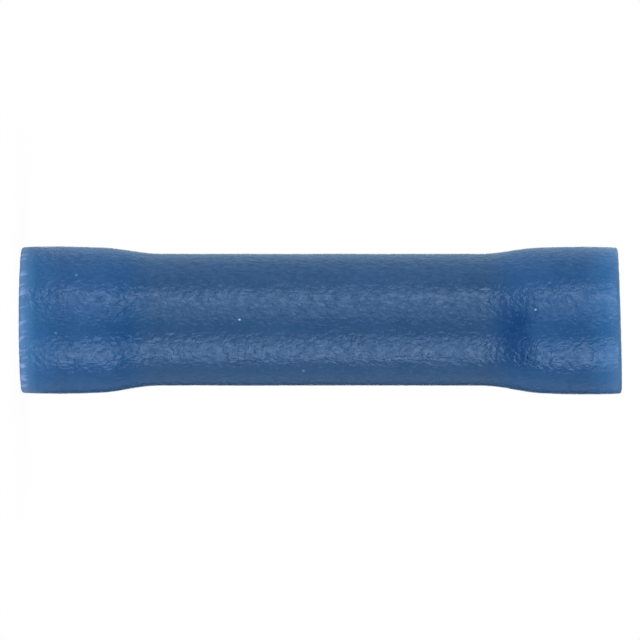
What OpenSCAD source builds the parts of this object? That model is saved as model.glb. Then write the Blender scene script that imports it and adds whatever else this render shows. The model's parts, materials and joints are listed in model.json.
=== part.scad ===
// Insulated butt splice: a plated metal barrel that joins two wires end to end,
// inside a plastic sleeve whose two mouths are widened to take the wires' insulation.
// It stands on its lower mouth. The axis is +Z and the origin is the middle of the lower end.

/* [Sleeve] */
// Length of the insulating sleeve, along its axis
sleeve_length = 26; // [22:0.5:34]
// Largest outside diameter of the widened mouths
mouth_od = 6.4; // [6:0.1:7.6]
// Wall of the mouths, thinned where the tube was stretched
mouth_wall = 0.8; // [0.5:0.05:1.1]
// Length of each mouth, from its cut end to the start of the taper
mouth_length = 3.2; // [2.2:0.1:4.5]
// How far the mouth's gentle crown draws in at each of its ends, on the radius
mouth_crown = 0.04; // [0:0.01:0.1]
// Length of the taper between a mouth and the waist
taper_length = 2.9; // [1.6:0.1:4]
// Wall of the waist, the unstretched tube around the barrel
waist_wall = 0.9; // [0.6:0.05:1.1]
// Bevel on the cut edges of the mouths
edge_break = 0.08; // [0.02:0.01:0.2]
// Angle by which the upper end is cut out of square
top_cut_angle = 1.6; // [0:0.1:4]

/* [Barrel] */
// Length of the metal barrel
barrel_length = 15; // [12:0.5:17]
// Outside diameter of the barrel
barrel_od = 3.9; // [3.4:0.1:4.2]
// Wall of the barrel
barrel_wall = 0.8; // [0.5:0.05:1]
// Bevel that leads a wire into each bore
lead_in = 0.25; // [0.1:0.05:0.4]
// Bevel on the barrel's outer end edges
barrel_edge_break = 0.1; // [0.04:0.02:0.2]
// Gap between the barrel and the sleeve around it, on the radius
barrel_fit = 0.01; // [0.005:0.005:0.05]

/* [Wire stop] */
// Depth of the groove rolled into the middle of the barrel
stop_depth = 0.55; // [0.3:0.05:0.8]
// Length of the rolled groove, along the axis
stop_length = 1.8; // [1.2:0.1:3]

/* [Hidden] */

$fn = 96;

// Radii of the sleeve and the barrel
mouth_r = mouth_od / 2;
mouth_edge_r = mouth_r - mouth_crown;
mouth_bore_r = mouth_r - mouth_wall;
barrel_r = barrel_od / 2;
wire_bore_r = barrel_r - barrel_wall;
waist_bore_r = barrel_r + barrel_fit;
waist_r = waist_bore_r + waist_wall;

// Height of the barrel's lower end in the sleeve, and of the stop above that end
barrel_base_z = (sleeve_length - barrel_length) / 2;
stop_z = barrel_length / 2;

// Steps in the curved stretches of the two outlines
crown_steps = 8;
taper_steps = 12;
stop_steps = 16;

// Uncut tube beyond each end, and what a cut reaches past the tube's side
end_stock = 0.6;
cut_reach = 1;

// A smooth rise from 0 to 1 as t goes from 0 to 1
function rise(t) = (1 - cos(180 * t)) / 2;

// A line of points taken in the other order
function reversed(points) = [for (i = [len(points) - 1 : -1 : 0]) points[i]];

// A line of points turned over from one end of the sleeve to the other
function turned_over(points) = [for (p = points) [p[0], sleeve_length - p[1]]];

// From a mouth's cut end to the waist, down the outside: a crowned mouth and an S-shaped taper
function sleeve_outside() = concat(
    [[mouth_edge_r, -end_stock]],
    [for (i = [0 : crown_steps])
        let (t = i / crown_steps)
        [mouth_r - mouth_crown * pow(2 * t - 1, 2), t * mouth_length]],
    [for (i = [1 : taper_steps])
        let (t = i / taper_steps)
        [mouth_edge_r + (waist_r - mouth_edge_r) * rise(t), mouth_length + t * taper_length]]
);

// The same stretch down the inside: a parallel mouth and its taper
function sleeve_inside() = concat(
    [[mouth_bore_r, -end_stock]],
    [for (i = [0 : taper_steps])
        let (t = i / taper_steps)
        [mouth_bore_r + (waist_bore_r - mouth_bore_r) * rise(t), mouth_length + t * taper_length]]
);

// The tube before its ends are cut, with both mouths widened over a heated mandrel
module stretched_tube() {
    inside = sleeve_inside();
    outside = sleeve_outside();
    rotate_extrude() polygon(concat(
        reversed(inside),
        outside,
        reversed(turned_over(outside)),
        turned_over(inside)
    ));
}

// What a cut takes off an end that faces +Z at z = 0: the stock, and a bevel on both edges
module end_cut() {
    inner_edge = mouth_bore_r + edge_break;
    outer_edge = mouth_edge_r - edge_break;
    clear_r = mouth_r + cut_reach;
    stock_top = end_stock + cut_reach;
    rotate_extrude() polygon([
        [0, -inner_edge],
        [inner_edge, 0],
        [outer_edge, 0],
        [clear_r, outer_edge - clear_r],
        [clear_r, stock_top],
        [0, stock_top]
    ]);
}

// Blue plastic tube: two widened mouths and a waist that grips the barrel
module insulation_sleeve() {
    color("steelblue") difference() {
        stretched_tube();
        mirror([0, 0, 1]) end_cut();
        translate([0, 0, sleeve_length]) rotate([0, -top_cut_angle, 0]) end_cut();
    }
}

// Depth of the rolled groove at height z of the barrel
function stop_dip(z) = stop_depth * rise(1 - abs(z - stop_z) / (stop_length / 2));

// The groove's outline on a wall of radius r, from below the stop to above it
function stop_line(r) = [for (i = [0 : stop_steps])
    let (z = stop_z + stop_length * (i / stop_steps - 0.5))
    [r - stop_dip(z), z]];

// Plated copper tube with a wire stop rolled into its middle, so each wire has a bore of its own
module conductor_barrel() {
    color("gainsboro") translate([0, 0, barrel_base_z]) rotate_extrude() polygon(concat(
        [[wire_bore_r + lead_in, 0], [barrel_r - barrel_edge_break, 0], [barrel_r, barrel_edge_break]],
        stop_line(barrel_r),
        [[barrel_r, barrel_length - barrel_edge_break], [barrel_r - barrel_edge_break, barrel_length]],
        [[wire_bore_r + lead_in, barrel_length], [wire_bore_r, barrel_length - lead_in]],
        reversed(stop_line(wire_bore_r)),
        [[wire_bore_r, lead_in]]
    ));
}

insulation_sleeve();
conductor_barrel();
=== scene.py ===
# %% [markdown]
# # A blue butt splice
#
# A butt splice joins two wires end to end. It is a short tin-plated copper tube, the
# barrel, inside a soft vinyl sleeve. The sleeve's two mouths were widened with heat, so
# that each wire's own insulation can go in too. Both pieces already exist as exact solids.
# They load first, as a fixed frame, and everything here is measured from them.

# %% Load the solids and measure them
import json
import math

import bmesh
import bpy
from mathutils import Matrix, Vector, noise


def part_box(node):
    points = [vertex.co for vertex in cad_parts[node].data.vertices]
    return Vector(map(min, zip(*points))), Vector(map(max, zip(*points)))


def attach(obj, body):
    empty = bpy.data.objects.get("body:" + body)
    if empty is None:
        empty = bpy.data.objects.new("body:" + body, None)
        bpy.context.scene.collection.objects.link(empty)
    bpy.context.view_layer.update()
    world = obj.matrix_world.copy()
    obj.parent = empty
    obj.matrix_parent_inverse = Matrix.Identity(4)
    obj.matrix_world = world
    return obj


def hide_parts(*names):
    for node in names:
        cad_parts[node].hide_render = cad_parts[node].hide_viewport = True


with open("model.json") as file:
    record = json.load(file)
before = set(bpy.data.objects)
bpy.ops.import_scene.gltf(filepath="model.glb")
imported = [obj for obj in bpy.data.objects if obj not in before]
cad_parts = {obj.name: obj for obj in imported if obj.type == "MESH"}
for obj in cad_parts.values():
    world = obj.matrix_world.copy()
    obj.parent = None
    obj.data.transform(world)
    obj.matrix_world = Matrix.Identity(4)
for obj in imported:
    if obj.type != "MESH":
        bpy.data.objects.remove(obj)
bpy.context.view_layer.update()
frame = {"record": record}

MM = 0.001
mounts = {mount["name"]: mount["dims"] for mount in frame["record"]["mounts"]}
sleeve_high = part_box("insulation_sleeve")[1]
barrel_low, barrel_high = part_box("conductor_barrel")
MOUTH_R = sleeve_high.y
MOUTH_BORE_R = mounts["lower_mouth"]["r_mm"] * MM
BARREL_R = barrel_high.y
WIRE_BORE_R = mounts["lower_wire_bore"]["r_mm"] * MM
BARREL_FROM = barrel_low.z
BARREL_TO = barrel_high.z
SLEEVE_LENGTH = BARREL_FROM + BARREL_TO
print("sleeve", round(SLEEVE_LENGTH / MM, 2), "mm long, mouth radius", round(MOUTH_R / MM, 2))
print("barrel from", round(BARREL_FROM / MM, 2), "to", round(BARREL_TO / MM, 2), "mm")

# %% [markdown]
# ## Small tools
#
# Colours are written as sRGB hex values, as a colour picker shows them, and Blender's
# shaders want linear light, so one function converts them. Another adds one node, sets its
# settings and links its inputs, which keeps each material readable from top to bottom. The
# last one turns a finished bmesh into an object that rides on the part.

# %% Colour, node and piece helpers
def linear(hex_colour):
    """An sRGB hex colour as linear RGBA."""
    channels = [int(hex_colour[i : i + 2], 16) / 255 for i in (1, 3, 5)]
    return [c / 12.92 if c <= 0.04045 else ((c + 0.055) / 1.055) ** 2.4 for c in channels] + [1]


def add(tree, kind, settings=None, **inputs):
    """One node. An input, by name or as i and its number, is a value, a socket or a node to link."""
    node = tree.nodes.new(kind)
    for name, value in (settings or {}).items():
        setattr(node, name, value)
    for name, value in inputs.items():
        key = int(name[1:]) if name[1:].isdigit() else name.replace("_", " ")
        if isinstance(value, bpy.types.Node):
            value = next(socket for socket in value.outputs if socket.enabled)
        if isinstance(value, bpy.types.NodeSocket):
            tree.links.new(value, node.inputs[key])
        else:
            node.inputs[key].default_value = value
    return node


def new_material(name):
    """An empty node material and its tree."""
    material = bpy.data.materials.new(name)
    material.use_nodes = True
    material.node_tree.nodes.clear()
    return material, material.node_tree


def make_piece(bm, name, material, node):
    """The finished bmesh as an object that stands for a solid of the frame."""
    mesh = bpy.data.meshes.new(name)
    bm.to_mesh(mesh)
    bm.free()
    mesh.shade_smooth()
    mesh.materials.append(material)
    piece = bpy.data.objects.new(name, mesh)
    bpy.context.scene.collection.objects.link(piece)
    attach(piece, "root")
    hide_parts(node)
    print(name, "has", sum(len(p.vertices) - 2 for p in mesh.polygons), "triangles")
    return piece


# %% [markdown]
# ## The camera
#
# The picture was taken square to the splice's side from far off, so the two ends look
# nearly flat. A long lens does the same here. The splice stands on its end, and the picture
# shows it lying across the frame, so the camera is rolled a quarter turn: the picture's right
# is the splice's top, and the picture's top is its -X side.

# %% Camera
FRAME_PX = 640
SPLICE_PX = 598
CAMERA_DISTANCE = 420 * MM
CAMERA_LIFT = math.radians(0.9)
SENSOR = 36
# The splice lies a hair off the middle of the picture
AIM = Vector((0.017 * MM, 0, SLEEVE_LENGTH / 2 - 0.03 * MM))

view_width = SLEEVE_LENGTH * FRAME_PX / SPLICE_PX
right = Vector((0, math.sin(CAMERA_LIFT), math.cos(CAMERA_LIFT)))
up = Vector((-1, 0, 0))
back = right.cross(up)

camera_data = bpy.data.cameras.new("camera")
camera_data.sensor_width = SENSOR
camera_data.lens = SENSOR * CAMERA_DISTANCE / view_width
camera_data.clip_start = 10 * MM
camera = bpy.data.objects.new("camera", camera_data)
turned = Matrix((right, up, back)).transposed().to_4x4()
camera.matrix_world = Matrix.Translation(AIM + back * CAMERA_DISTANCE) @ turned
bpy.context.scene.collection.objects.link(camera)
bpy.context.scene.camera = camera
print("lens", round(camera_data.lens), "mm, view", round(view_width / MM, 2), "mm wide")

# %% [markdown]
# ## The sleeve, first as a straight tube
#
# Vinyl sleeves are cut from extruded tube, and the mouths are stretched afterwards. The
# mesh is made in the same order. The wall's section is a rectangle, whose four corners get a
# small round where the knife left them, and spinning it about the axis gives the tube. The
# long outer side has many cuts, because the skin's wrinkles will need them. The same form
# could be one curve with a bevel, but a bmesh keeps both walls closed.

# %% Straight tube
WAIST_WALL = 0.9 * MM
BARREL_GAP = 0.01 * MM
EDGE_ROUND = 0.1 * MM
ROUND_STEPS = 3
TURNS = 320
SKIN_CUTS = 235
BORE_CUTS = 40
END_CUTS = 3
TINY = 0.001 * MM

tube_bore_r = BARREL_R + BARREL_GAP
tube_r = tube_bore_r + WAIST_WALL


def wall_section(bm, radii, heights, breaks, steps):
    """A tube wall's outline on the XZ plane: a rectangle whose inner and outer corners are broken."""
    inside = [bm.verts.new((radii[0], 0, z)) for z in heights]
    outside = [bm.verts.new((radii[1], 0, z)) for z in reversed(heights)]
    bm.faces.new(inside + outside)
    for corners, size in zip((inside, outside), breaks):
        bmesh.ops.bevel(
            bm, geom=corners, affect="VERTICES", offset=size, segments=steps, profile=0.5, material=-1
        )
    bmesh.ops.delete(bm, geom=bm.faces[:], context="FACES_ONLY")


def cut_sides(bm, outer_cuts, inner_cuts, end_cuts):
    """More points along the section's outer, inner and end sides."""
    upright = [e for e in bm.edges if abs(e.verts[0].co.x - e.verts[1].co.x) < TINY]
    level = [e for e in bm.edges if abs(e.verts[0].co.z - e.verts[1].co.z) < TINY]
    outermost = max(e.verts[0].co.x for e in upright)
    outer = [e for e in upright if e.verts[0].co.x > outermost - TINY]
    inner = [e for e in upright if e not in outer]
    for edges, cuts in ((outer, outer_cuts), (inner, inner_cuts), (level, end_cuts)):
        bmesh.ops.subdivide_edges(bm, edges=edges, cuts=cuts)


def spin_section(bm, steps):
    """The section turned into a closed tube about the Z axis."""
    section = bm.verts[:] + bm.edges[:]
    bmesh.ops.spin(
        bm, geom=section, axis=(0, 0, 1), cent=(0, 0, 0), angle=math.tau, steps=steps, use_merge=True
    )
    bmesh.ops.remove_doubles(bm, verts=bm.verts[:], dist=TINY)
    bmesh.ops.recalc_face_normals(bm, faces=bm.faces[:])


sleeve = bmesh.new()
wall_section(sleeve, (tube_bore_r, tube_r), (0, SLEEVE_LENGTH), (EDGE_ROUND, EDGE_ROUND), ROUND_STEPS)
cut_sides(sleeve, SKIN_CUTS, BORE_CUTS, END_CUTS)
spin_section(sleeve, TURNS)
print("straight tube:", len(sleeve.verts), "points")

# %% [markdown]
# ## Widening the mouths
#
# On the real sleeve a heated mandrel goes into each end, and the tube keeps its wider form
# when it cools. Here each point keeps its share of the wall, from 0 on the inside to 1
# on the outside, and the two walls move out by a smooth rise over the taper. The mouth is
# also a little crowned, and the upper one came out a hair wider. A lattice could do this too, but
# a formula gives the solid's own sizes.

# %% Stretch both ends
EDGE_BREAK = 0.08 * MM
MOUTH_LENGTH = mounts["lower_mouth"]["length_mm"] * MM + EDGE_BREAK
TAPER_LENGTH = 2.9 * MM
MOUTH_CROWN = 0.04 * MM
UPPER_SWELL = 0.007 * MM


def rise(t):
    """A smooth rise from 0 to 1 as t goes from 0 to 1."""
    return (1 - math.cos(math.pi * min(max(t, 0), 1))) / 2


def stretched_walls(z):
    """Inner and outer radius of the sleeve at height z."""
    from_end = max(min(z, SLEEVE_LENGTH - z), 0)
    taper = rise((from_end - MOUTH_LENGTH) / TAPER_LENGTH)
    crown = MOUTH_CROWN * min(abs(2 * from_end / MOUTH_LENGTH - 1), 1) ** 2
    swell = UPPER_SWELL * (1 - taper) if z > SLEEVE_LENGTH / 2 else 0
    inner = MOUTH_BORE_R + (tube_bore_r - MOUTH_BORE_R) * taper
    outer = MOUTH_R - crown + (tube_r - MOUTH_R + MOUTH_CROWN) * taper
    return inner + swell, outer + swell


wall_share = sleeve.verts.layers.float.new("wall_share")
cut_face = sleeve.verts.layers.float.new("cut_face")
for vert in sleeve.verts:
    radius = vert.co.xy.length
    vert[cut_face] = min(vert.co.z, SLEEVE_LENGTH - vert.co.z) < TINY
    vert[wall_share] = (radius - tube_bore_r) / WAIST_WALL
    inner, outer = stretched_walls(vert.co.z)
    vert.co.xy *= (inner + (outer - inner) * vert[wall_share]) / radius
print("mouths widened to", round(max(v.co.x for v in sleeve.verts) / MM, 3), "mm radius")

# %% [markdown]
# ## The cut ends
#
# The knife went through the upper end a little out of square, so one side is longer. A
# bisect would do it, but it would also cut the rounded edge away. Shearing the last
# stretch of the tube keeps the edge whole. Both cuts also wander by up to two hundredths of a
# millimetre, as a cut through soft vinyl does, and never below the surface the splice stands on.
# Both mouths also cooled a little to one side, the upper one more.

# %% Slanted top, uneven knife cuts and leaning mouths
TOP_CUT_SLOPE = math.tan(math.radians(1.6))
SHEAR_LENGTH = 2 * MM
CUT_WANDER = 0.02 * MM
CUT_WANDER_SIZE = 0.35 * MM
CUT_REACH = 0.25 * MM
UPPER_LEAN = 0.038 * MM
LOWER_LEAN = 0.02 * MM
LEAN_FROM = BARREL_TO + 0.2 * MM
LEAN_LENGTH = 2.7 * MM

for vert in sleeve.verts:
    from_top = SLEEVE_LENGTH - vert.co.z
    near_top = rise(1 - from_top / SHEAR_LENGTH)
    near_cut = rise(1 - min(vert.co.z, from_top) / CUT_REACH)
    wander = CUT_WANDER * near_cut * abs(noise.noise(vert.co / CUT_WANDER_SIZE))
    inwards = 1 if vert.co.z < from_top else -1
    vert.co.z += vert.co.x * TOP_CUT_SLOPE * near_top + inwards * wander
    vert.co.x += UPPER_LEAN * rise((vert.co.z - LEAN_FROM) / LEAN_LENGTH)
    vert.co.x += LOWER_LEAN * rise((from_top - LEAN_FROM) / LEAN_LENGTH)
print("upper end runs up to", round(max(v.co.z for v in sleeve.verts) / MM, 3), "mm")

# %% [markdown]
# ## Wrinkles in the skin
#
# Vinyl that has been drawn and reheated has a fine leathery skin: short ridges, a
# quarter of a millimetre apart and longer along the axis than across it. They are
# real geometry here, because the highlights break up on them. A ridge is where a noise
# crosses zero, and a second, slower noise bends the pattern so that no two ridges run alike.

# %% Leathery skin
RIDGE_SPACING = 0.28 * MM
RIDGE_STRETCH = 0.8
RIDGE_HEIGHT = 0.006 * MM
BEND_SIZE = 0.7 * MM
BEND_AMOUNT = 0.2 * MM
WAVE_SIZE = 2.4 * MM
WAVE_HEIGHT = 0.008 * MM
OUTER_SKIN = 0.999
# A vector noise starts from the clock unless it is given a seed
SKIN_SEED = 1


def skin_height(point):
    """How far the skin stands out at a point of the tube."""
    bend = noise.noise_vector(point / BEND_SIZE) * BEND_AMOUNT
    place = point + bend
    place.z *= RIDGE_STRETCH
    ridge = 2 - 2 * abs(noise.noise(place / RIDGE_SPACING))
    wave = noise.noise(point / WAVE_SIZE)
    return RIDGE_HEIGHT * ridge + WAVE_HEIGHT * wave


noise.seed_set(SKIN_SEED)
for vert in sleeve.verts:
    if vert[wall_share] > OUTER_SKIN:
        vert.co.xy += vert.co.xy.normalized() * skin_height(vert.co.copy())
sleeve.normal_update()
print("ridges stand up to", round(2 * RIDGE_HEIGHT / MM, 3), "mm out")

# %% [markdown]
# ## Blue vinyl
#
# The sleeve is plasticised PVC, extruded, with a satin skin. It is a little see-through: over
# the barrel it looks greyer, just past the barrel's end it is darkest, and at the cut
# rims, where light comes in from the end, it is palest. Subsurface light could give this, but
# it would be lost outside Blender, so the colour follows the height along the sleeve: the
# darkest blue is painted shade, and the pale blues towards the rims are painted light.

# %% Blue along the sleeve
SMOOTH = {"interpolation_type": "SMOOTHSTEP"}
# Painted light: the rim, lit, end and pale blues stand for light that comes in through the cut ends
BLUE_RIM_LIGHT = linear("#6f93c4")
BLUE_LIT = linear("#4678aa")
BLUE_END_LIGHT = linear("#446fa0")
BLUE_PALE_LIGHT = linear("#2a5e92")
BLUE_MOUTH = linear("#234f80")
# Painted shade: the shade blue, just past the barrel's lower end
BLUE_SHADE = linear("#1a4979")
BLUE_WAIST = linear("#294c75")

# Extruded PVC: a deep, slightly milky blue under a soft satin shine
vinyl, tree = new_material("blue_vinyl_extruded_satin")
place = add(tree, "ShaderNodeTexCoord").outputs["Object"]
parts = add(tree, "ShaderNodeSeparateXYZ", Vector=place).outputs
across, height = parts["X"], parts["Z"]
along = add(tree, "ShaderNodeMath", {"operation": "DIVIDE"}, i0=height, i1=SLEEVE_LENGTH)
blue = add(tree, "ShaderNodeValToRGB", Fac=along)
# Height along the sleeve, and the blue there: painted light near both cut ends, painted shade just below
# the barrel
stops = [
    (0, BLUE_RIM_LIGHT),
    (0.3 * MM, BLUE_LIT),
    (0.75 * MM, BLUE_PALE_LIGHT),
    (1.8 * MM, BLUE_MOUTH),
    (BARREL_FROM - 2.0 * MM, BLUE_MOUTH),
    (BARREL_FROM - 1.0 * MM, BLUE_SHADE),
    (BARREL_FROM + 0.4 * MM, BLUE_WAIST),
    (BARREL_TO - 0.4 * MM, BLUE_WAIST),
    (BARREL_TO + 1.0 * MM, BLUE_MOUTH),
    (SLEEVE_LENGTH - 1.5 * MM, BLUE_MOUTH),
    (SLEEVE_LENGTH - 0.6 * MM, BLUE_PALE_LIGHT),
    (SLEEVE_LENGTH, BLUE_END_LIGHT),
]
elements = blue.color_ramp.elements
while len(elements) < len(stops):
    elements.new(1)
for element, (z, colour) in zip(elements, stops):
    element.position = z / SLEEVE_LENGTH
    element.color = colour
print("blue changes at", [round(z / MM, 1) for z, colour in stops], "mm")

# %% [markdown]
# ### Painted shade and marks in the vinyl
#
# The dark ring past the barrel's upper end is painted shade: it is strong on two sides and gone
# on the others, and its edges wander. The colour is slightly mottled, the knife dragged pale
# nicks into the lower rim, and there are a few pale and dark specks. Each is a mask that lays one
# colour over another, because masks can be sized in millimetres and kept apart. The ring of
# painted shade and the specks are placed by their distance across and up, so they show on the
# front and on the back.

# %% Painted shade ring and mottling
COLOUR = {"data_type": "RGBA"}
TIMES = {"operation": "MULTIPLY"}
MINUS = {"operation": "SUBTRACT"}
TIMES_PLUS = {"operation": "MULTIPLY_ADD"}
ABSOLUTE = {"operation": "ABSOLUTE"}
# A noise mostly stays in this stretch of 0 to 1
NOISE_SPAN = {"From_Min": 0.3, "From_Max": 0.7}
MOTTLE_SIZE = 1.6 * MM
MOTTLE_DARK = 0.94
MOTTLE_PALE = 1.06
# Painted shade: the dark ring just past the barrel's upper end
BLUE_DEEP_SHADE = linear("#133f73")
DEEP_AT = BARREL_TO + 0.95 * MM
DEEP_REACH = 1.2 * MM
DEEP_WANDER = 2.4 * MM
DEEP_ACROSS = 0.6 * MM
DEEP_WIDE = 1.8 * MM
DEEP_CORE = 0.4 * MM

mottle = add(tree, "ShaderNodeTexNoise", Vector=place, Scale=1 / MOTTLE_SIZE, Detail=4.0)
uneven = add(tree, "ShaderNodeMath", TIMES_PLUS, i0=mottle, i1=DEEP_WANDER, i2=height)
off_ring = add(tree, "ShaderNodeMath", MINUS, i0=uneven, i1=DEEP_AT + DEEP_WANDER / 2)
off_ring = add(tree, "ShaderNodeMath", ABSOLUTE, i0=off_ring)
# Mask of the painted shade, strongest on the front and the back
shade_ring = add(tree, "ShaderNodeMapRange", SMOOTH, Value=off_ring, From_Min=DEEP_REACH, From_Max=0.0)
side = add(tree, "ShaderNodeMath", MINUS, i0=across, i1=DEEP_ACROSS)
side = add(tree, "ShaderNodeMath", ABSOLUTE, i0=side)
side = add(tree, "ShaderNodeMapRange", SMOOTH, Value=side, From_Min=DEEP_WIDE, From_Max=DEEP_CORE)
shade_ring = add(tree, "ShaderNodeMath", TIMES, i0=shade_ring, i1=side)
blue = add(tree, "ShaderNodeMix", COLOUR, Factor=shade_ring, i6=blue, i7=BLUE_DEEP_SHADE)

value = add(tree, "ShaderNodeMapRange", Value=mottle, **NOISE_SPAN, To_Min=MOTTLE_DARK, To_Max=MOTTLE_PALE)
blue = add(tree, "ShaderNodeHueSaturation", Value=value, Color=blue)
print("dark ring", round(DEEP_AT / MM, 2), "mm up the sleeve")

# %% Knife nicks in the lower rim
TEXTURE = {"vector_type": "TEXTURE"}
NICK_PALE = linear("#99b5e4")
NICK_WIDTH = 0.18 * MM
NICK_LENGTH = 0.45 * MM
NICK_SLANT = (0, math.radians(-17), 0)
NICK_DRAG = (1, 1, 10)
NICK_FROM = 0.51
NICK_TO = 0.72

dragged = add(tree, "ShaderNodeMapping", TEXTURE, Vector=place, Rotation=NICK_SLANT, Scale=NICK_DRAG)
nicks = add(tree, "ShaderNodeTexNoise", Vector=dragged, Scale=1 / NICK_WIDTH, Detail=1.0)
nicks = add(tree, "ShaderNodeMapRange", SMOOTH, Value=nicks, From_Min=NICK_FROM, From_Max=NICK_TO)
near_rim = add(tree, "ShaderNodeMapRange", SMOOTH, Value=height, From_Min=NICK_LENGTH, From_Max=0.0)
nicks = add(tree, "ShaderNodeMath", TIMES, i0=nicks, i1=near_rim)
blue = add(tree, "ShaderNodeMix", COLOUR, Factor=nicks, i6=blue, i7=NICK_PALE)
print("nicks reach", round(NICK_LENGTH / MM, 2), "mm up from the rim")

# %% Specks
SPECK_PALE = linear("#9dbfe4")
SPECK_SOFT = linear("#4f7cb0")
SPECK_FAINT = linear("#54789f")
SPECK_DARK = linear("#06254c")
SPECK_CORE = 0.3
# Across, up, half the width and half the length, all in millimetres, and the colour
SPECKS = [
    (-0.43, 22.32, 0.055, 0.055, SPECK_PALE),
    (0, 9.54, 0.05, 0.07, SPECK_PALE),
    (-1.93, 2.48, 0.08, 0.08, SPECK_SOFT),
    (0.57, 1.61, 0.06, 0.08, SPECK_SOFT),
    (2.21, 12.28, 0.08, 0.08, SPECK_FAINT),
    (-1.32, 20.16, 0.04, 0.34, SPECK_FAINT),
    (1.64, 21.99, 0.08, 0.1, SPECK_DARK),
    (0.86, 21.91, 0.06, 0.06, SPECK_DARK),
]

flat = add(tree, "ShaderNodeMapping", Vector=place, Scale=(1, 0, 1))
for x, z, width, length, colour in SPECKS:
    size = (width * MM, 1, length * MM)
    speck = add(tree, "ShaderNodeMapping", TEXTURE, Vector=flat, Location=(x * MM, 0, z * MM), Scale=size)
    speck = add(tree, "ShaderNodeVectorMath", {"operation": "LENGTH"}, i0=speck).outputs["Value"]
    speck = add(tree, "ShaderNodeMapRange", SMOOTH, Value=speck, From_Min=1.0, From_Max=SPECK_CORE)
    blue = add(tree, "ShaderNodeMix", COLOUR, Factor=speck, i6=blue, i7=colour)
print(len(SPECKS), "specks, and", len(tree.nodes), "nodes in the vinyl's colour")

# %% [markdown]
# ### Satin shine and the finest wrinkles
#
# The wrinkles that are too small for the mesh come from a bump, which only the outside has:
# the bore was smooth inside the die. The gloss is uneven too, in small flecks, as on a soft vinyl
# whose plasticiser comes to the surface, and the shader's specular level gives that. The bore
# looks paler, because light comes through the wall, and so do the cut ends, which are duller
# too and have the knife's own fine lines across them. Two attributes of the mesh, kept from when
# it was a straight tube, tell the material where the outside and the cuts are.

# %% Bore and cut ends
# Painted light: the bore is paler where light comes through the wall
BLUE_BORE = linear("#3d76ad")
CUT_PALE = linear("#5f90c0")
CUT_DULL = linear("#3b70a5")
KNIFE_LINE = 0.12 * MM
KNIFE_SWEEP = (1, 0.05, 0.05)

outside = add(tree, "ShaderNodeAttribute", {"attribute_name": "wall_share"}).outputs["Fac"]
cut = add(tree, "ShaderNodeAttribute", {"attribute_name": "cut_face"}).outputs["Fac"]
swept = add(tree, "ShaderNodeMapping", Vector=place, Scale=KNIFE_SWEEP)
lines = add(tree, "ShaderNodeTexNoise", Vector=swept, Scale=1 / KNIFE_LINE, Detail=3.0)
cut_blue = add(tree, "ShaderNodeMix", COLOUR, Factor=lines, i6=CUT_DULL, i7=CUT_PALE)
blue = add(tree, "ShaderNodeMix", COLOUR, Factor=outside, i6=BLUE_BORE, i7=blue)
blue = add(tree, "ShaderNodeMix", COLOUR, Factor=cut, i6=blue, i7=cut_blue)
print("knife lines", round(KNIFE_LINE / MM, 2), "mm apart on the cut ends")

# %% Finish of the vinyl
VINYL_IOR = 1.53
SHEEN_TINT = linear("#bad8ff")
SATIN_SMOOTH = 0.17
SATIN_ROUGH = 0.28
CUT_ROUGHER = 0.2
GRAIN_SIZE = 0.16 * MM
GRAIN_STRETCH = 0.78
GRAIN_HEIGHT = 0.034 * MM
GLOSS_SIZE = 0.24 * MM
GLOSS_LOW = 0.2
GLOSS_HIGH = 0.7
KNIFE_HEIGHT = 0.02 * MM

satin = add(tree, "ShaderNodeMapRange", Value=mottle, **NOISE_SPAN, To_Min=SATIN_SMOOTH, To_Max=SATIN_ROUGH)
rough = add(tree, "ShaderNodeMath", TIMES_PLUS, i0=cut, i1=CUT_ROUGHER, i2=satin)

drawn = add(tree, "ShaderNodeMapping", Vector=place, Scale=(1, 1, GRAIN_STRETCH))
grain = add(tree, "ShaderNodeTexNoise", Vector=drawn, Scale=1 / GRAIN_SIZE, Detail=1.0, Distortion=0.4)
gloss = add(tree, "ShaderNodeTexNoise", Vector=drawn, Scale=1 / GLOSS_SIZE, Detail=1.5, Roughness=0.65)
gloss = add(tree, "ShaderNodeMapRange", Value=gloss, **NOISE_SPAN, To_Min=GLOSS_LOW, To_Max=GLOSS_HIGH)
relief = add(tree, "ShaderNodeBump", Height=grain, Distance=GRAIN_HEIGHT, Strength=outside)
relief = add(tree, "ShaderNodeBump", Height=lines, Distance=KNIFE_HEIGHT, Strength=cut, Normal=relief)

shader = add(
    tree,
    "ShaderNodeBsdfPrincipled",
    Base_Color=blue,
    Roughness=rough,
    Specular_IOR_Level=gloss,
    Normal=relief,
)
shader.inputs["IOR"].default_value = VINYL_IOR
shader.inputs["Specular Tint"].default_value = SHEEN_TINT
add(tree, "ShaderNodeOutputMaterial", Surface=shader)
make_piece(sleeve, "vinyl_sleeve", vinyl, "insulation_sleeve")

# %% [markdown]
# ## The barrel
#
# The barrel is a drawn copper tube. It is cut to length, its ends are broken with a small
# bevel, and a roller presses a ring into its middle that stops each wire. The mesh follows
# that order: a section, a spin, and then the ring pressed in with the same smooth rise. A
# curve turned with a Screw modifier would do too, but the sleeve's helpers are already here.

# %% Tube with a rolled stop
BARREL_EDGE = 0.1 * MM
LEAD_IN = 0.25 * MM
STOP_DEPTH = 0.55 * MM
STOP_LENGTH = 1.8 * MM
BARREL_TURNS = 128
BARREL_CUTS = 72

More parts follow.
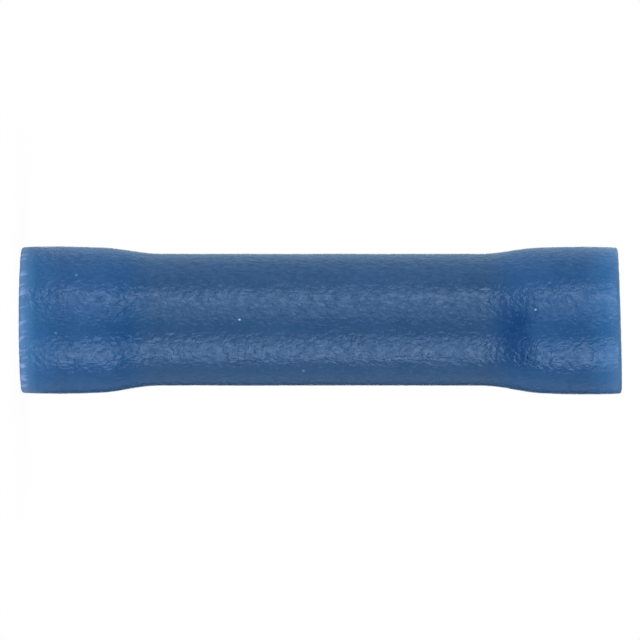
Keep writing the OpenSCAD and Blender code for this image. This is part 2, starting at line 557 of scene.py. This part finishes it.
barrel = bmesh.new()
wall_section(barrel, (WIRE_BORE_R, BARREL_R), (BARREL_FROM, BARREL_TO), (LEAD_IN, BARREL_EDGE), 1)
cut_sides(barrel, BARREL_CUTS, BARREL_CUTS, END_CUTS)
spin_section(barrel, BARREL_TURNS)
middle = (BARREL_FROM + BARREL_TO) / 2
for vert in barrel.verts:
    radius = vert.co.xy.length
    dip = STOP_DEPTH * rise(1 - abs(vert.co.z - middle) / (STOP_LENGTH / 2))
    vert.co.xy *= (radius - dip) / radius
print("stop narrows the bore to", round((WIRE_BORE_R - STOP_DEPTH) / MM, 2), "mm radius")

# %% [markdown]
# ## Tin plate
#
# Tin is plated thinly over the drawn copper so that it doesn't tarnish. It shows the draw
# lines that run along the tube under it, so the roughness and a slight relief follow a noise
# that is stretched along the axis. The lines are drawn coarser than the real ones, which
# would be too fine to show. Shading stays smooth round the tube and breaks at the bevels.

# %% Finish of the barrel
TIN_PALE = linear("#d2d1cb")
TIN_DULL = linear("#b9b7b0")
DRAW_LINE = 0.07 * MM
DRAW_HEIGHT = 0.004 * MM
DRAW_STRETCH = (1, 1, 0.03)
TIN_ROUGH = 0.38
TIN_SMOOTH = 0.26
SHARP_ANGLE = math.radians(35)

# Tin plate over drawn copper: a warm grey metal with a soft, streaky shine
tin, tree = new_material("tin_plate_drawn_satin")
place = add(tree, "ShaderNodeTexCoord").outputs["Object"]
drawn = add(tree, "ShaderNodeMapping", Vector=place, Scale=DRAW_STRETCH)
lines = add(tree, "ShaderNodeTexNoise", Vector=drawn, Scale=1 / DRAW_LINE, Detail=3.0)
plate = add(tree, "ShaderNodeMix", COLOUR, Factor=lines, i6=TIN_DULL, i7=TIN_PALE)
rough = add(tree, "ShaderNodeMapRange", Value=lines, **NOISE_SPAN, To_Min=TIN_ROUGH, To_Max=TIN_SMOOTH)
relief = add(tree, "ShaderNodeBump", Height=lines, Distance=DRAW_HEIGHT)
shader = add(tree, "ShaderNodeBsdfPrincipled", Base_Color=plate, Roughness=rough, Normal=relief)
shader.inputs["Metallic"].default_value = 1.0
add(tree, "ShaderNodeOutputMaterial", Surface=shader)
tinned_barrel = make_piece(barrel, "tinned_barrel", tin, "conductor_barrel")
tinned_barrel.data.set_sharp_from_angle(angle=SHARP_ANGLE)

# %% [markdown]
# ## Floor
#
# The splice stands on white paper. A camera that looks along the floor would see it grey, so
# most of what the camera sees is plain white, and a small share is real paper, which keeps
# the splice's shadow. That share fades out towards the disc's edge, so the disc has no rim. It is
# small, because the softboxes reach below it and a wide floor would shade the lower mouth. In
# the satin skin it is seen dimmer, as paper in the splice's own shade.

# %% Disc under the splice
FLOOR_R = 18 * MM
FLOOR_SIDES = 96
FLOOR_DROP = 0.01 * MM

paper_disc = bmesh.new()
bmesh.ops.create_circle(paper_disc, cap_ends=True, segments=FLOOR_SIDES, radius=FLOOR_R)
bmesh.ops.translate(paper_disc, verts=paper_disc.verts[:], vec=(0, 0, -FLOOR_DROP))
floor_data = bpy.data.meshes.new("floor")
paper_disc.to_mesh(floor_data)
paper_disc.free()
floor = bpy.data.objects.new("floor", floor_data)
bpy.context.scene.collection.objects.link(floor)
print("floor disc", round(2 * FLOOR_R / MM), "mm wide")

# %% White paper
LARGER = {"operation": "MAXIMUM"}
PAPER_WHITE = linear("#f2f2f2")
PURE_WHITE = linear("#ffffff")
WHITE_SHARE = 0.93
MIRROR_WHITE = 0.3

# Uncoated paper: a matt white, with no shine of its own
paper, tree = new_material("white_paper_matt")
rays = add(tree, "ShaderNodeLightPath").outputs
mirrored = add(tree, "ShaderNodeMath", LARGER, i0=rays["Is Glossy Ray"], i1=rays["Is Transmission Ray"])
place = add(tree, "ShaderNodeTexCoord").outputs["Object"]
away = add(tree, "ShaderNodeVectorMath", {"operation": "LENGTH"}, i0=place).outputs["Value"]
fade = add(tree, "ShaderNodeMapRange", SMOOTH, Value=away, From_Max=FLOOR_R, To_Min=WHITE_SHARE)
share = add(tree, "ShaderNodeMath", TIMES, i0=rays["Is Camera Ray"], i1=fade)
share = add(tree, "ShaderNodeMath", LARGER, i0=share, i1=mirrored)
glow = add(tree, "ShaderNodeMapRange", Value=mirrored, To_Min=1.0, To_Max=MIRROR_WHITE)
matt = add(tree, "ShaderNodeBsdfDiffuse", Color=PAPER_WHITE)
white = add(tree, "ShaderNodeEmission", Color=PURE_WHITE, Strength=glow)
mixed = add(tree, "ShaderNodeMixShader", i0=share, i1=matt, i2=white)
add(tree, "ShaderNodeOutputMaterial", Surface=mixed)
floor_data.materials.append(paper)
print("paper has", len(tree.nodes), "nodes")

# %% [markdown]
# ## A white tent
#
# Small parts are photographed inside a white cloth tent. The camera sees it as pure
# white, and the splice gets a soft fill from it. Mirror rays see it darker and a little blue, and
# paler towards one side and the table below, because a satin skin in a pure white tent would
# look milky. A photograph of a studio could light it too, but a few nodes are enough here.

# %% World
FILL_DARK = 0.61
FILL_PALE = 0.9
TENT_FROM = 0.1
TENT_DARK = 0.04
TENT_PALE = 0.95
TENT_SIDE = (-0.82, 0.47, 0.3)
TENT_TINT = linear("#d4eeff")
TABLE_FROM = -0.35
TABLE_TO = -0.8
TABLE_PALE = 0.7
NUMBER = {"data_type": "FLOAT"}

tent = bpy.data.worlds.new("white_tent")
bpy.context.scene.world = tent
tent.use_nodes = True
tree = tent.node_tree
tree.nodes.clear()
rays = add(tree, "ShaderNodeLightPath").outputs
direction = add(tree, "ShaderNodeTexCoord").outputs["Generated"]
lean = add(tree, "ShaderNodeVectorMath", {"operation": "DOT_PRODUCT"}, i0=direction, i1=TENT_SIDE)
lean = lean.outputs["Value"]
fill = add(tree, "ShaderNodeMapRange", Value=lean, From_Min=-1.0, To_Min=FILL_DARK, To_Max=FILL_PALE)
cloth = add(
    tree, "ShaderNodeMapRange", SMOOTH, Value=lean, From_Min=TENT_FROM, To_Min=TENT_DARK, To_Max=TENT_PALE
)
down = add(tree, "ShaderNodeSeparateXYZ", Vector=direction).outputs["Z"]
table = add(
    tree,
    "ShaderNodeMapRange",
    SMOOTH,
    Value=down,
    From_Min=TABLE_FROM,
    From_Max=TABLE_TO,
    To_Max=TABLE_PALE,
)
cloth = add(tree, "ShaderNodeMath", LARGER, i0=cloth, i1=table)
level = add(tree, "ShaderNodeMix", NUMBER, Factor=rays["Is Glossy Ray"], A=fill, B=cloth)
straight = add(tree, "ShaderNodeMath", LARGER, i0=rays["Is Camera Ray"], i1=rays["Is Transmission Ray"])
level = add(tree, "ShaderNodeMix", NUMBER, Factor=straight, A=level, B=1.0)
tint = add(tree, "ShaderNodeMix", COLOUR, Factor=rays["Is Glossy Ray"], i6=PURE_WHITE, i7=TENT_TINT)
sky = add(tree, "ShaderNodeBackground", Color=tint, Strength=level)
add(tree, "ShaderNodeOutputWorld", Surface=sky)
print("tent fill from", FILL_DARK, "to", FILL_PALE)

# %% [markdown]
# ## Softboxes
#
# Two softboxes in front, one on each side of the camera, make the two bands of light along the
# sleeve, and their width sets how wide the bands are. A softbox is brighter in its middle, where
# its lamp is, so each of the two is a wide cloth with a narrower one over it. A weak one
# below draws the lower edge, one behind lights the back, and one above lights the upper mouth. They
# are area lights, since a glowing mesh would be noisier, and each is given by its cloth's brightness.

# %% Lamps
BOX_DISTANCE = 0.5
# Degrees from the camera and up the splice, width and height in metres, brightness and colour
SOFTBOXES = {
    "upper_middle": (38, 4, 0.14, 0.3, 1.7, "#ffffff"),
    "upper_softbox": (29, 4, 0.53, 0.3, 1.45, "#ffffff"),
    "lower_middle": (-60, 4, 0.18, 0.22, 0.9, "#ffffff"),
    "lower_softbox": (-55, 4, 0.42, 0.24, 2.3, "#ffffff"),
    "under_softbox": (-115, 0, 0.54, 0.4, 0.45, "#dcf0ff"),
    "behind_softbox": (180, -8, 0.2, 0.5, 1.6, "#ffffff"),
    "top_softbox": (0, 89, 0.3, 0.3, 2.0, "#ffffff"),
}


def softbox(name, angle, lift, width, height, radiance, colour):
    """A soft light so many degrees from the camera towards the picture's top, and up the splice."""
    turn = math.radians(angle)
    climb = math.radians(lift)
    level = Vector((-math.sin(turn), -math.cos(turn), 0))
    away = level * math.cos(climb) + Vector((0, 0, math.sin(climb)))
    data = bpy.data.lights.new(name, "AREA")
    data.shape = "RECTANGLE"
    data.size = width
    data.size_y = height
    data.color = linear(colour)[:3]
    data.energy = radiance * math.pi * width * height
    lamp = bpy.data.objects.new(name, data)
    lamp.location = Vector((0, 0, SLEEVE_LENGTH / 2)) + away * BOX_DISTANCE
    lamp.rotation_euler = (-away).to_track_quat("-Z", "Y").to_euler()
    lamp.visible_camera = False
    bpy.context.scene.collection.objects.link(lamp)
    print(name, "at", [round(v, 2) for v in lamp.location])


for name, box in SOFTBOXES.items():
    softbox(name, *box)

# %% [markdown]
# ## Last
#
# The picture keeps Blender's plain Standard colours.

# %% Colour management
bpy.context.scene.view_settings.view_transform = "Standard"
